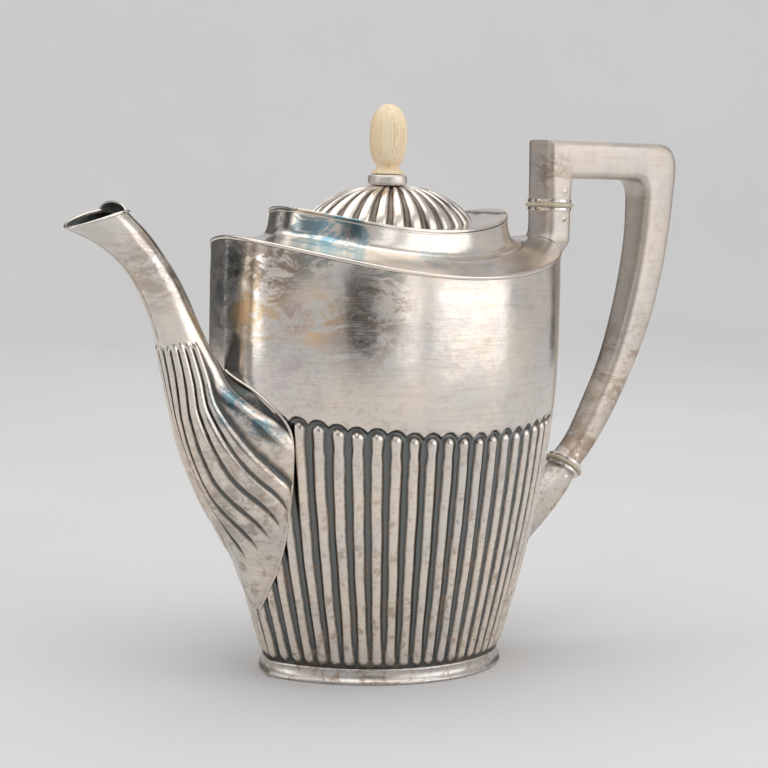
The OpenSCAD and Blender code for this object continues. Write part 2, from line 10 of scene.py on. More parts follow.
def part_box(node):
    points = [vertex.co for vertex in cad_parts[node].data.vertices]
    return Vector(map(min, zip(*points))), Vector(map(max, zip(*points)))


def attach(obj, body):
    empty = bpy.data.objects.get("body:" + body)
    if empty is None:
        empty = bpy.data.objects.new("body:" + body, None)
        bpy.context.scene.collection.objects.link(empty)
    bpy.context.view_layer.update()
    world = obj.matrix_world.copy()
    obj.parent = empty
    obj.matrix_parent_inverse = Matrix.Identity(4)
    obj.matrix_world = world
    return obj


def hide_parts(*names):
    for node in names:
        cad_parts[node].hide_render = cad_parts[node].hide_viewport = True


# The looks of the silver coffee pot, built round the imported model.
# Shapes are worked out in millimetres from the body's own upright axis, and add() turns them
# into the scene's metres. The spout points to -x, the handle to +x and the near side is -y.

scene = bpy.context.scene
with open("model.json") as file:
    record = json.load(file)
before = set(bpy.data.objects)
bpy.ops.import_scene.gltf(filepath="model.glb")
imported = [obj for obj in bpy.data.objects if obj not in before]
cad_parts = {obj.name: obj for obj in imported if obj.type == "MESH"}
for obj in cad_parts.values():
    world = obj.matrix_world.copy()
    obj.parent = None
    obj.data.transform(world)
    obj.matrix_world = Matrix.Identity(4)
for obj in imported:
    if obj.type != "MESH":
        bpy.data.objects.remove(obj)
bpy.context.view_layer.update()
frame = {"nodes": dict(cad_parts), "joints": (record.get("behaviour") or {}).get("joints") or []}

MM = 0.001


def box_mm(node):
    low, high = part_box(node)
    return np.array(low) / MM, np.array(high) / MM


foot_low, foot_high = box_mm("foot_ring")
AXIS_X = (foot_low[0] + foot_high[0]) / 2

# ---- driving sizes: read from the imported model, or the same as in its source ----

FOOT_A = (foot_high[0] - foot_low[0]) / 2
FOOT_B = foot_high[1]
FOOT_H = foot_high[2]
wall_low, wall_high = box_mm("body_shell")
RIM_A = wall_high[0] - AXIS_X
RIM_B = wall_high[1]
RIM_TOP = box_mm("rim_wire")[1][2]
RIM_RISE = 13.3
RIM_Z = RIM_TOP - RIM_RISE - 0.8
BELLY_Z = 125
REEDS = 28
REED_DEPTH = 1.8
HEAD_Z = 92.5
HEAD_RISE = 8.5
RIM_POINT = 0.11
FOOT_POINT = 0.33
GALLERY_POINT = 0.02
wire_low, wire_high = box_mm("gallery_wire")
GALLERY_A = wire_high[0] - AXIS_X
GALLERY_B = wire_high[1]
GALLERY_RISE = 7.8
GALLERY_Z = wire_high[2] - GALLERY_RISE
GALLERY_H = 10.2
GALLERY_SPREAD = 6.6
PLATE_T = 1.1
LID_GAP = 0.25
DOME_A = 37
DOME_B = 22
DOME_LOBES = 28
washer_low, washer_high = box_mm("finial_washer")
DOME_Z = washer_low[2]
WASHER_H = washer_high[2] - washer_low[2]
FINIAL_X = (washer_low[0] + washer_high[0]) / 2 - AXIS_X
TOP_Z = box_mm("finial")[1][2]
SPOUT_WALL = 0.8
hinge = frame["joints"][0]
HINGE_X = hinge["pos_m"][0] / MM - AXIS_X
HINGE_Z = hinge["pos_m"][2] / MM
UPPER_RING = np.array([84.3, 181.7])
LOWER_RING = np.array([96.5, 71.8])
LOWER_LEAN = math.radians(34)
RING_T = 1.8
COLLAR_H = 1.5
UPPER_RING_R, UPPER_COLLAR_R, UPPER_TENON_R = 10.1, 9.1, 5.2
LOWER_RING_R, LOWER_COLLAR_R, LOWER_TENON_R = 8.7, 7.6, 3.5
TENON_END = 8
HINGE_CLEAR = 1.75
SHEET_T = 1.0
OVAL_POINTS = 240
LOBE_STEPS = 14


# ---- curves ----


def smoothstep(low, high, value):
    t = np.clip((value - low) / (high - low), 0, 1)
    return t * t * (3 - 2 * t)


def oval(a, b, p, u):
    """x and y on the near side of a pointed oval; u runs from -1 in front to 1 behind."""
    d = p * b
    big_b = b + d
    big_a = a / np.sqrt(1 - (d / big_b) ** 2)
    k = (big_a - big_b) / (2 * (big_a + big_b))
    t0 = np.arcsin(a / big_a)
    e0 = t0 + k * np.sin(2 * t0)
    t = t0 * (u * e0 - k * np.sin(2 * u * e0)) / (e0 - k * np.sin(2 * e0))
    return big_a * np.sin(t), d - big_b * np.cos(t)


def oval_x(a, b, p, y):
    """How far along the oval reaches at a distance y from its long axis."""
    d = p * b
    big_a = a / np.sqrt(1 - (d / (b + d)) ** 2)
    return big_a * np.sqrt(1 - ((np.abs(y) + d) / (b + d)) ** 2)


def oval_y(a, b, p, x):
    """Half width of the oval at x."""
    d = p * b
    big_a = a / np.sqrt(1 - (d / (b + d)) ** 2)
    return (b + d) * np.sqrt(np.clip(1 - (x / big_a) ** 2, 0, 1)) - d


def ring(a, b, p, z, rise, n):
    """A closed ring of n points on the oval, higher by rise at its two ends."""
    s = np.arange(n) / n
    near = s < 0.5
    u = np.where(near, 4 * s - 1, 3 - 4 * s)
    x, y = oval(a, b, p, u)
    return np.stack([x, np.where(near, y, -y), z + rise * (x / a) ** 2], axis=1)


def smooth_rows(stations, count):
    """Catmull-Rom rows through the stations, count steps from each to the next."""
    s = np.array(stations, float)
    rows = []
    for i in range(len(s) - 1):
        p0, p1 = s[max(i - 1, 0)], s[i]
        p2, p3 = s[i + 1], s[min(i + 2, len(s) - 1)]
        for k in range(count):
            t = k / count
            rows.append(0.5 * (2 * p1 + (p2 - p0) * t + (2 * p0 - 5 * p1 + 4 * p2 - p3) * t ** 2
                               + (3 * p1 - p0 - 3 * p2 + p3) * t ** 3))
    rows.append(s[-1])
    return np.array(rows)


def grid_faces(rows, cols, wrap_rows=False, wrap_cols=True):
    """Quads of a grid of points, row by row."""
    faces = []
    for j in range(rows if wrap_rows else rows - 1):
        for i in range(cols if wrap_cols else cols - 1):
            a, b = j * cols + i, j * cols + (i + 1) % cols
            up = ((j + 1) % rows) * cols
            faces.append((a, b, up + (i + 1) % cols, up + i))
    return faces


# ---- pieces ----


def add(name, points, faces, body, slot, look, replaces=(), relief=None, sharp=40, ridge=False):
    """A piece from points in millimetres. Relief is 1 on high places rubbed bright and 0 in
    hollows, and it sets the tarnish in the hollows and the shade painted round them; a low relief
    paints a whole surface dark with shade.
    A piece with a ridge has a crisp edge wherever its edges lie in the middle plane."""
    mesh = bpy.data.meshes.new(name)
    co = (np.asarray(points, float) + [AXIS_X, 0, 0]) * MM
    mesh.from_pydata(co.tolist(), [], faces)
    values = np.ones(len(co)) if relief is None else np.asarray(relief, float).ravel()
    wear_and_shade = mesh.attributes.new("relief", "FLOAT", "POINT")
    wear_and_shade.data.foreach_set("value", values.astype(np.float32))
    bm = bmesh.new()
    bm.from_mesh(mesh)
    bmesh.ops.recalc_face_normals(bm, faces=bm.faces)
    bm.to_mesh(mesh)
    bm.free()
    mesh.shade_smooth()
    mesh.set_sharp_from_angle(angle=math.radians(sharp))
    if ridge:
        middle = {i for i, q in enumerate(co) if abs(q[1]) < 1e-9}
        for edge in mesh.edges:
            if middle.issuperset(edge.vertices):
                edge.use_edge_sharp = True
    piece = bpy.data.objects.new(name, mesh)
    scene.collection.objects.link(piece)
    mesh.materials.append(look)
    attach(piece, body)
    if replaces:
        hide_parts(*replaces)
    return piece


def add_rings(name, rings, *args, **more):
    """A solid whose closed rings run up the outside and down the inside."""
    rings = np.array(rings)
    rows, cols = rings.shape[:2]
    return add(name, rings.reshape(-1, 3), grid_faces(rows, cols, wrap_rows=True), *args, **more)


def add_stack(name, rings, *args, **more):
    """A solid from stacked rings with a flat cap at each end."""
    rings = np.array(rings)
    rows, cols = rings.shape[:2]
    caps = [tuple(range(cols)), tuple((rows - 1) * cols + i for i in range(cols))]
    faces = grid_faces(rows, cols) + caps
    return add(name, rings.reshape(-1, 3), faces, *args, **more)


def add_sheet(name, outer, inner, *args, **more):
    """A sheet between two grids of points of the same size, closed round its border."""
    rows, cols = outer.shape[:2]
    n = rows * cols
    faces = grid_faces(rows, cols, wrap_cols=False)
    faces += [tuple(i + n for i in reversed(f)) for f in faces]
    border = list(range(cols - 1))
    border += [j * cols + cols - 1 for j in range(rows - 1)]
    border += [(rows - 1) * cols + i for i in range(cols - 1, 0, -1)]
    border += [j * cols for j in range(rows - 1, 0, -1)]
    for a, b in zip(border, border[1:] + border[:1]):
        faces.append((a, a + n, b + n, b))
    points = np.concatenate([outer.reshape(-1, 3), inner.reshape(-1, 3)])
    return add(name, points, faces, *args, **more)


def add_lathe(name, profile, to_place, *args, sides=72, **more):
    """A turned piece: (radius, height) round its own axis, put in place by a matrix.
    A height profile that starts and ends on the axis closes itself."""
    profile = np.array(profile, float)
    angles = np.arange(sides) * 2 * math.pi / sides
    rings = []
    for radius, height in profile:
        r = max(radius, 0.01)
        rings.append(np.stack([r * np.cos(angles), r * np.sin(angles),
                               np.full(sides, height)], axis=1))
    points = np.array(rings).reshape(-1, 3)
    turn = np.array(to_place)
    points = points @ turn[:3, :3].T + turn[:3, 3]
    closed = np.allclose(profile[0], profile[-1])
    rows = len(profile)
    if closed:
        points = points[:-sides]
        faces = grid_faces(rows - 1, sides, wrap_rows=True)
    else:
        faces = grid_faces(rows, sides)
        faces += [tuple(range(sides)), tuple((rows - 1) * sides + i for i in range(sides))]
    return add(name, points, faces, *args, **more)


def add_tube(name, path, radius, *args, closed=False, sides=10, **more):
    """A round wire along a path of points."""
    path = np.array(path, float)
    if closed:
        ahead = np.roll(path, -1, axis=0) - np.roll(path, 1, axis=0)
    else:
        ahead = np.gradient(path, axis=0)
    ahead /= np.linalg.norm(ahead, axis=1, keepdims=True)
    side = np.cross(ahead, [0, 0, 1])
    lengths = np.linalg.norm(side, axis=1, keepdims=True)
    side = np.where(lengths > 0.1, side / np.maximum(lengths, 1e-6), [1, 0, 0])
    up = np.cross(side, ahead)
    angles = np.arange(sides) * 2 * math.pi / sides
    rings = np.array([path + radius * (math.cos(t) * side + math.sin(t) * up) for t in angles])
    rings = rings.transpose(1, 0, 2)
    if closed:
        return add_rings(name, rings, *args, **more)
    return add_stack(name, rings, *args, **more)


def rounded(profile):
    """An open profile with its corners cut back twice."""
    pts = [np.array(q, float) for q in profile]
    for _ in range(2):
        out = [pts[0]]
        for a, b in zip(pts[:-1], pts[1:]):
            out += [a + (b - a) * 0.25, a + (b - a) * 0.75]
        out.append(pts[-1])
        pts = out
    return pts


# ---- materials ----


class Look:
    """A procedural material; its methods add one node each and return the output socket."""

    def __init__(self, name):
        self.material = bpy.data.materials.new(name)
        self.material.use_nodes = True
        self.tree = self.material.node_tree
        self.shader = self.tree.nodes["Principled BSDF"]
        self.place = self.node("ShaderNodeTexCoord").outputs["Object"]

    def node(self, kind, **settings):
        made = self.tree.nodes.new(kind)
        for key, value in settings.items():
            setattr(made, key, value)
        return made

    def feed(self, socket, value):
        if isinstance(value, bpy.types.NodeSocket):
            self.tree.links.new(value, socket)
        else:
            socket.default_value = value

    def stretched(self, scale):
        mapping = self.node("ShaderNodeMapping")
        self.feed(mapping.inputs["Vector"], self.place)
        mapping.inputs["Scale"].default_value = scale
        return mapping.outputs["Vector"]

    def noise(self, scale, detail=4.0, rough=0.55, distortion=0.0):
        """Noise whose scale is in features per metre, one number or three."""
        made = self.node("ShaderNodeTexNoise")
        if isinstance(scale, tuple):
            self.feed(made.inputs["Vector"], self.stretched(scale))
            made.inputs["Scale"].default_value = 1
        else:
            self.feed(made.inputs["Vector"], self.place)
            made.inputs["Scale"].default_value = scale
        made.inputs["Detail"].default_value = detail
        made.inputs["Roughness"].default_value = rough
        made.inputs["Distortion"].default_value = distortion
        return made.outputs["Fac"]

    def calc(self, operation, a, b=0.0, clamp=False):
        made = self.node("ShaderNodeMath", operation=operation, use_clamp=clamp)
        self.feed(made.inputs[0], a)
        self.feed(made.inputs[1], b)
        return made.outputs[0]

    def between(self, value, low, high, to_low=0.0, to_high=1.0):
        """Smooth step of a value from low to high, mapped to a new range."""
        made = self.node("ShaderNodeMapRange", interpolation_type="SMOOTHSTEP")
        self.feed(made.inputs["Value"], value)
        for key, number in (("From Min", low), ("From Max", high), ("To Min", to_low),
                            ("To Max", to_high)):
            made.inputs[key].default_value = number
        return made.outputs["Result"]

    def mix(self, share, a, b):
        made = self.node("ShaderNodeMix", data_type="RGBA")
        self.feed(made.inputs["Factor"], share)
        for key, colour in ((6, a), (7, b)):
            self.feed(made.inputs[key], (*colour, 1) if isinstance(colour, tuple) else colour)
        return made.outputs[2]

    def relief(self):
        return self.node("ShaderNodeAttribute", attribute_name="relief").outputs["Fac"]

    def height(self):
        """Height above the table in metres."""
        parts = self.node("ShaderNodeSeparateXYZ")
        self.feed(parts.inputs[0], self.place)
        return parts.outputs["Z"]

    def ramp(self, value, stops):
        """Colours blended between stops of (place, colour)."""
        made = self.node("ShaderNodeValToRGB")
        self.feed(made.inputs["Fac"], value)
        points = made.color_ramp.elements
        points[0].position, points[1].position = stops[0][0], stops[-1][0]
        for place, _ in stops[1:-1]:
            points.new(place)
        for point, (_, colour) in zip(points, stops):
            point.color = (*colour, 1)
        return made.outputs["Color"]

    def patch(self, centre, reach):
        """1 at a place in millimetres from the pot's axis, fading to 0 at the reach."""
        away = self.node("ShaderNodeVectorMath", operation="DISTANCE")
        self.feed(away.inputs[0], self.place)
        away.inputs[1].default_value = [(centre[0] + AXIS_X) * MM, centre[1] * MM, centre[2] * MM]
        return self.between(away.outputs["Value"], reach * MM, reach * 0.35 * MM)

    def bump(self, height, distance, before=None):
        made = self.node("ShaderNodeBump")
        made.inputs["Strength"].default_value = 1
        made.inputs["Distance"].default_value = distance * MM
        self.feed(made.inputs["Height"], height)
        if before is not None:
            self.feed(made.inputs["Normal"], before)
        return made.outputs["Normal"]

    def finish(self, colour, roughness, normal):
        self.feed(self.shader.inputs["Base Color"], colour)
        self.feed(self.shader.inputs["Roughness"], roughness)
        self.feed(self.shader.inputs["Normal"], normal)
        return self.material


WARM = (0.84, 0.745, 0.645)
COOL = (0.74, 0.70, 0.66)
SHADOW = (0.075, 0.085, 0.085)
HOLLOW = (0.17, 0.18, 0.175)
FLANK = (0.33, 0.28, 0.235)
BROWN = (0.30, 0.205, 0.14)
PATINA = (0.54, 0.44, 0.345)
ORANGE = (0.90, 0.62, 0.34)
PURPLE = (0.50, 0.42, 0.45)
BLUE = (0.22, 0.42, 0.50)
TEAL = (0.17, 0.23, 0.23)


def silver(name, brushed=1.0, brown=0.5, shine=0.15, hollow=HOLLOW, tone=(COOL, WARM), patches=()):
    """Old polished silver: high places rubbed bright, tarnish in the hollows with a dark line of
    painted shade round each one, cloudy colour, fine scratches and brown pits that are thickest low
    on the pot.
    Patches are (centre, reach, colour, strength)."""
    look = Look(name)
    look.shader.inputs["Metallic"].default_value = 1
    clouds = look.noise(34, 5, 0.6, 0.4)
    fine = look.noise(230, 6, 0.65)
    specks = look.noise(800, 4, 0.75)
    scratches = look.noise((60, 60, 2600), 3, 0.6)

    # the plain metal
    plain = look.mix(look.between(clouds, 0.38, 0.62), *tone)
    streaks = look.between(look.noise((45, 45, 800), 5, 0.7, 0.3), 0.5, 0.64, 0, 0.35 * brown)
    plain = look.mix(streaks, plain, PATINA)
    if patches:
        mottle = look.between(look.noise((85, 85, 150), 7, 0.75, 0.7), 0.44, 0.56)
    for centre, reach, tint, strength in patches:
        ragged = look.calc("MULTIPLY", look.patch(centre, reach), mottle)
        plain = look.mix(look.calc("MULTIPLY", ragged, strength), plain, tint)
    # tarnish in the hollows, and painted shade on their sides that is darkest in a line round each
    # hollow, with a ragged edge
    rough_edge = look.calc("MULTIPLY", look.calc("SUBTRACT", fine, 0.5), 0.45)
    wear_and_shade = look.calc("ADD", look.relief(), rough_edge, clamp=True)
    sunk = look.ramp(wear_and_shade, [(0.0, hollow), (0.12, hollow), (0.3, SHADOW), (0.5, FLANK),
                            (0.75, WARM)])
    high = look.between(wear_and_shade, 0.5, 0.8)
    colour = look.mix(high, sunk, plain)
    # stains and pits, thickest low on the pot
    low_down = look.between(look.height(), 0.13, 0.03, 0.2, 1.0)
    stained = look.calc("MULTIPLY", look.between(fine, 0.5, 0.66), low_down)
    colour = look.mix(look.calc("MULTIPLY", stained, 0.7 * brown), colour, BROWN)
    pits = look.calc("MULTIPLY", look.between(specks, 0.60, 0.68), high)
    pitted = look.calc("MULTIPLY", pits, look.between(look.height(), 0.16, 0.05, 0.25, 1.0))
    colour = look.mix(look.calc("MULTIPLY", pitted, 0.75 * brown), colour, BROWN)
    # shine and fine relief
    rough = look.calc("ADD", look.between(clouds, 0.3, 0.7, shine, shine + 0.08),
                      look.between(wear_and_shade, 0.6, 0.2, 0, 0.16))
    rough = look.calc("ADD", rough, look.calc("MULTIPLY", stained, 0.12))
    normal = look.bump(look.noise(60, 2, 0.5), 0.3)
    normal = look.bump(scratches, 0.014 * brushed, normal)
    normal = look.bump(look.calc("SUBTRACT", fine, look.calc("MULTIPLY", pitted, 0.7)), 0.04,
                       normal)
    return look.finish(colour, rough, normal)


def ivory(name, pale, deep, line):
    """Old ivory: pale and yellow streaks along its length, with a few brown grain lines."""
    look = Look(name)
    streak = look.noise((260, 260, 14), 4, 0.6, 0.3)
    cracks = look.noise((420, 420, 9), 2, 0.5)
    colour = look.mix(look.between(streak, 0.35, 0.65), pale, deep)
    thin = look.calc("ABSOLUTE", look.calc("SUBTRACT", cracks, 0.5))
    colour = look.mix(look.between(thin, 0.012, 0.0, 0, 0.75), colour, line)
    look.shader.inputs["Subsurface Weight"].default_value = 0.12
    look.shader.inputs["Subsurface Radius"].default_value = (0.004, 0.002, 0.001)
    look.shader.inputs["IOR"].default_value = 1.54
    rough = look.between(look.noise(300), 0.3, 0.7, 0.3, 0.42)
    return look.finish(colour, rough, look.bump(streak, 0.05))


body_look = silver("silver_body", brown=0.8, patches=[
    ((-77, -6, 150), 30, TEAL, 0.75),
    ((-74, -14, 142), 17, ORANGE, 0.7),
    ((-60, -30, 166), 16, TEAL, 0.8),
    ((-70, -20, 157), 17, BROWN, 0.8),
    ((-38, -44, 146), 15, BROWN, 0.6),
    ((-40, -44, 158), 15, TEAL, 0.6),
    ((-60, -31, 140), 15, ORANGE, 0.8),
    ((-64, -27, 140), 9, PURPLE, 0.8),
    ((-45, -42, 136), 22, BROWN, 0.45),
    ((-66, -26, 118), 20, PURPLE, 0.4),
    ((-10, -54, 130), 24, PURPLE, 0.3),
])
shoulder_look = silver("silver_shoulder", brown=0.5, patches=[
    ((-40, -18, 172), 22, BLUE, 0.9),
    ((-52, -6, 174), 16, TEAL, 0.8),
    ((-10, -36, 158), 18, BLUE, 0.35),
    ((48, -10, 170), 11, ORANGE, 0.6),
])
spout_look = silver("silver_spout", brown=0.9, patches=[
    ((-76, -16, 106), 20, BLUE, 0.95),
    ((-84, -16, 60), 22, TEAL, 0.5),
    ((-112, -6, 158), 22, BROWN, 0.5),
    ((-84, -16, 78), 34, BROWN, 0.4),
])
handle_look = silver("silver_handle", brown=1.1, brushed=0.3, shine=0.38,
                     tone=((0.58, 0.54, 0.50), (0.66, 0.585, 0.51)), patches=[
    ((80, -4, 196), 12, BROWN, 0.6),
    ((125, 0, 110), 30, BROWN, 0.6),
    ((104, 0, 78), 18, BROWN, 0.7),
])
dome_look = silver("silver_dome", brown=0.8, hollow=(0.20, 0.165, 0.135))
bright_look = silver("silver_edges", brushed=0.2, brown=0.4)
foot_look = silver("silver_foot", brushed=0.2, brown=1.0, shine=0.25,
                   tone=((0.62, 0.59, 0.56), (0.74, 0.67, 0.60)))
washer_look = silver("silver_washer", brushed=0.2, brown=0.2, shine=0.4)
# the teal patch at the spout's mouth is painted shade on the tongue
dark_look = silver("silver_dark", brushed=0.0, brown=1.0, shine=0.3,
                   patches=[((-129, 0, 179), 14, TEAL, 1.0), ((95, 0, 180), 30, BROWN, 0.9)])
finial_look = ivory("ivory_finial", (0.94, 0.80, 0.57), (0.90, 0.69, 0.43), (0.42, 0.25, 0.10))
insulator_look = ivory("ivory_insulator", (0.62, 0.55, 0.42), (0.50, 0.42, 0.30),
                       (0.20, 0.13, 0.07))


# ---- body ----


def fullness(z):
    return 1 - 1.06 * (np.maximum(0, BELLY_Z - z) / 120) ** 1.8


def body_plan(z):
    """Half length, half width and end bluntness of the body at a height."""
    full = fullness(z)
    return (FOOT_A + (RIM_A - FOOT_A) * full, FOOT_B + (RIM_B - FOOT_B) * full,
            FOOT_POINT + (RIM_POINT - FOOT_POINT) * full)


def rise_at(z):
    """How much higher a level of the body runs at its ends than at its sides."""
    if z < HEAD_Z:
        return HEAD_RISE * (max(0, z - FOOT_H) / (HEAD_Z - FOOT_H)) ** 1.35
    return HEAD_RISE + (z - HEAD_Z) * (RIM_RISE - HEAD_RISE) / (RIM_Z - HEAD_Z)


def reed_depth(q, z, pitch):
    """Depth below the crests at reed coordinate q: round-headed reeds between hollows."""
    reed = np.floor(q + 0.25)
    across = (q + 0.25 - reed - 0.5) * pitch
    # each reed wavers a little and ends at its own height, as chased work does
    across = across + 0.10 * np.sin(0.13 * z + 2.1 * reed) + 0.07 * np.sin(0.31 * z + 4.7 * reed)
    half = pitch / 2
    top = HEAD_Z + 0.2 + 0.25 * np.sin(1.7 * reed)
    foot = FOOT_H + 3.2
    neck = 1 + 0.14 * np.exp(-((top - 4.5 - z) / 2.5) ** 2)
    past = np.maximum(0, z - top) + np.maximum(0, foot - z)
    away = np.hypot(across * neck, past)
    t = np.clip((away / half - 0.12) / 0.84, 0, 1)
    depth = REED_DEPTH * (0.92 * t * t * (3 - 2 * t) + 0.08 * (away / half) ** 2)
    if z > top.min():
        depth = depth * (1 - smoothstep(half - 0.1, half + 1.2, np.where(z > top, away, 0)))
    return depth * (0.7 + 0.3 * smoothstep(FOOT_H, 26, z))


def wall_ring(z, n, inset):
    """A ring of the body's wall at a height, and how high each of its points stands, which sets its
    tarnish and painted shade.
    """
    rise = rise_at(z)
    a, b, p = body_plan(z)
    a = body_plan(z + rise)[0]
    crest = ring(a, b, p, z, rise, n)
    within = ring(a - 1, b - 1, p, z, rise, n) - crest
    pitch = np.linalg.norm(np.diff(crest[:, :2], axis=0), axis=1).sum() / (2 * REEDS)
    depth = reed_depth(np.arange(n) / n * 2 * REEDS, z, pitch)
    # the wall is drawn in a little just under the rim
    tuck = 0.2 * math.exp(-((z - (RIM_Z - 5)) / 4) ** 2)
    return crest + within * (depth + inset + tuck)[:, None], 1 - depth / REED_DEPTH


def body_shell():
    n = 2 * REEDS * LOBE_STEPS
    heights = np.concatenate([np.linspace(FOOT_H, FOOT_H + 5, 12), np.linspace(13, 84, 30),
                              np.linspace(84.6, 98.4, 32), np.linspace(101, RIM_Z - 0.8, 16)])
    outer = [wall_ring(z, n, 0) for z in heights]
    inner = [wall_ring(z, n, SHEET_T) for z in heights[::-3]]
    rings = np.array([r for r, _ in outer + inner])
    relief = np.array([w for _, w in outer] + [np.ones(n)] * len(inner))
    add_rings("body_wall", rings, "pot", "silver_body", body_look, replaces=["body_shell"],
              relief=relief, ridge=True)


def oval_solid(name, profile, a, b, p, rise, *args, **more):
    """A closed solid from a profile of (inset, height) carried round an oval."""
    rings = [ring(a - inset, b - inset, p, z, rise, OVAL_POINTS) for inset, z in profile]
    return add_rings(name, rings, *args, **more)


def foot():
    h = FOOT_H
    profile = rounded([(3, 0), (0.2, 0), (0, 0.3), (0, 1.0), (0.6, 1.6), (1.3, 2.6),
                       (1.5, h - 1.6), (1.2, h - 0.7), (1.5, h), (3, h)])
    oval_solid("foot_band", profile, FOOT_A, FOOT_B, FOOT_POINT, 0, "pot", "silver_body",
               foot_look, replaces=["foot_ring"])


def rim():
    profile = [(inset, RIM_Z + up) for inset, up in rounded(
        [(1.1, -0.8), (0.1, -0.8), (-0.15, -0.3), (-0.25, 0.2), (0.1, 0.7), (1.1, 0.75)])]
    oval_solid("rim_bead", profile, RIM_A, RIM_B, RIM_POINT, RIM_RISE, "pot", "silver_bright",
               bright_look, replaces=["rim_wire"])


# ---- shoulder and gallery ----

SEAM_A = GALLERY_A + GALLERY_SPREAD
SEAM_B = GALLERY_B + GALLERY_SPREAD
SEAM_Z = GALLERY_Z - GALLERY_H


def shoulder_ring(t, drop):
    """A ring of the shoulder between the gallery's seam (0) and the rim (1)."""
    return ring(SEAM_A + (RIM_A - 1 - SEAM_A) * t, SEAM_B + (RIM_B - 1 - SEAM_B) * t,
                GALLERY_POINT + (RIM_POINT - GALLERY_POINT) * t,
                SEAM_Z + (RIM_Z + 0.6 - SEAM_Z) * t ** 0.8 - drop,
                GALLERY_RISE + (RIM_RISE - GALLERY_RISE) * t, OVAL_POINTS)


def shoulder():
    shares = np.linspace(1, 0, 15)
    rings = [shoulder_ring(t, 0) for t in shares]
    rings += [shoulder_ring(t, PLATE_T) for t in shares[::-1]]
    add_rings("shoulder_sheet", rings, "pot", "silver_shoulder", shoulder_look,
              replaces=["shoulder"])


def gallery():
    spread = smooth_rows([(GALLERY_SPREAD, GALLERY_H), (4.2, 9.6), (2.2, 8.4), (1, 6), (0.4, 3),
                          (0.1, 0.6)], 5)
    outer = [(0.3 - s, GALLERY_Z - d) for s, d in spread]
    inner = [(1.3 - s, GALLERY_Z - d - (0.9 if s > 5 else 0)) for s, d in spread[::-1]]
    oval_solid("gallery_wall", outer + inner, GALLERY_A, GALLERY_B, GALLERY_POINT, GALLERY_RISE,
               "pot", "silver_shoulder", shoulder_look, replaces=["gallery"])
    strip = rounded([(0.9, 0), (0.1, 0), (0, -0.15), (0, -0.5), (0.1, -0.7), (0.9, -0.7)])
    strip = [(inset, GALLERY_Z + up) for inset, up in strip]
    oval_solid("gallery_strip", strip, GALLERY_A, GALLERY_B, GALLERY_POINT, GALLERY_RISE,
               "pot", "silver_bright", bright_look, replaces=["gallery_wire"])


def sheer(x):
    """Height of the gallery's top at x."""
    return GALLERY_Z + GALLERY_RISE * (x / GALLERY_A) ** 2


def gallery_tip():
    """The small fixed end of the lid's outline behind the hinge."""
    rings = []
    for x in np.linspace(HINGE_X + HINGE_CLEAR, GALLERY_A - 0.3, 12):
        y = oval_y(GALLERY_A, GALLERY_B, GALLERY_POINT, x)
        low, high = sheer(x), sheer(x) + PLATE_T + LID_GAP
        rings.append([(x, -y, low), (x, y, low), (x, y, high - 0.3), (x, y - 0.3, high),
                      (x, -y + 0.3, high), (x, -y, high - 0.3)])
    add_stack("gallery_end", rings, "pot", "silver_bright", bright_look,
              replaces=["gallery_tip"], sharp=60)


# ---- spout ----

# Stations from the lip down to the foot of the leaf: front ridge x and z; back edge x, z and half
# width; for the side curve's two control points their half widths, their shares of the way from
# the front and from the back, and how far they are lifted.
SPOUT = [
    (-144.8, 170.7, -120.7, 175.4, 0, 12.2, 12.2, 0.1, 0.02, 0.4, 5.2),
    (-133.5, 166, -113.2, 171, 0, 10.2, 10.2, 0.12, 0.08, 0, 0.6),
    (-123.3, 159, -105.9, 163, 0, 9.6, 9.6, 0.12, 0.1, 0, 0),
    (-115.3, 149.2, -97.6, 151.4, 0, 9.6, 9.6, 0.12, 0.1, 0, 0),
    (-109.2, 136.5, -90.4, 138.5, 0, 10, 10, 0.12, 0.1, 0, 0),
    (-105, 123.5, -83, 126.5, 0, 10.8, 10.8, 0.12, 0.1, 0, 0),
    (-101.8, 111.5, -77.6, 119.3, 0, 12, 11.5, 0.12, 0.1, 0, 0),
    (-98.6, 101, -72, 111, 15.5, 13, 12.5, 0.1, 0.15, 0, 0),
    (-93.3, 87.5, -64, 99, 25.4, 15, 21, 0.06, 0.3, 0, 0),
    (-84.6, 71, -62, 82, 25, 15, 24, 0.05, 0.35, 0, 0),
    (-75.8, 57.5, -60.5, 64, 21.2, 13, 20.5, 0.05, 0.35, 0, 0),
    (-69, 45.5, -60, 48, 15.6, 9.5, 15, 0.05, 0.35, 0, 0),
    (-66, 36, -59.5, 36.5, 8.8, 5.5, 8.4, 0.05, 0.35, 0, 0),
    (-62.6, 27.5, -59, 27, 2, 1.2, 1.8, 0.05, 0.35, 0, 0),
]
SPOUT_ROWS = 14
SPOUT_COLS = 161
LOBES = 7
LAST_LOBE_WIDER = 3
PANEL_DEPTH = 3.1
# Width of a lobe and how far the lobes are pushed over the front ridge, both as shares of the
# half spout, at stations counted from the lip
LOBE_LAY = smooth_rows([(4.6, 0.098, 0.035), (5.5, 0.098, 0.06), (6.4, 0.1, 0.1), (7, 0.105, 0.14),
                        (8, 0.135, 0.24), (8.7, 0.18, 0.34), (9.4, 0.22, 0.3), (10, 0.25, 0.21),
                        (10.8, 0.3, 0.14), (13, 0.4, 0.1)], 8)


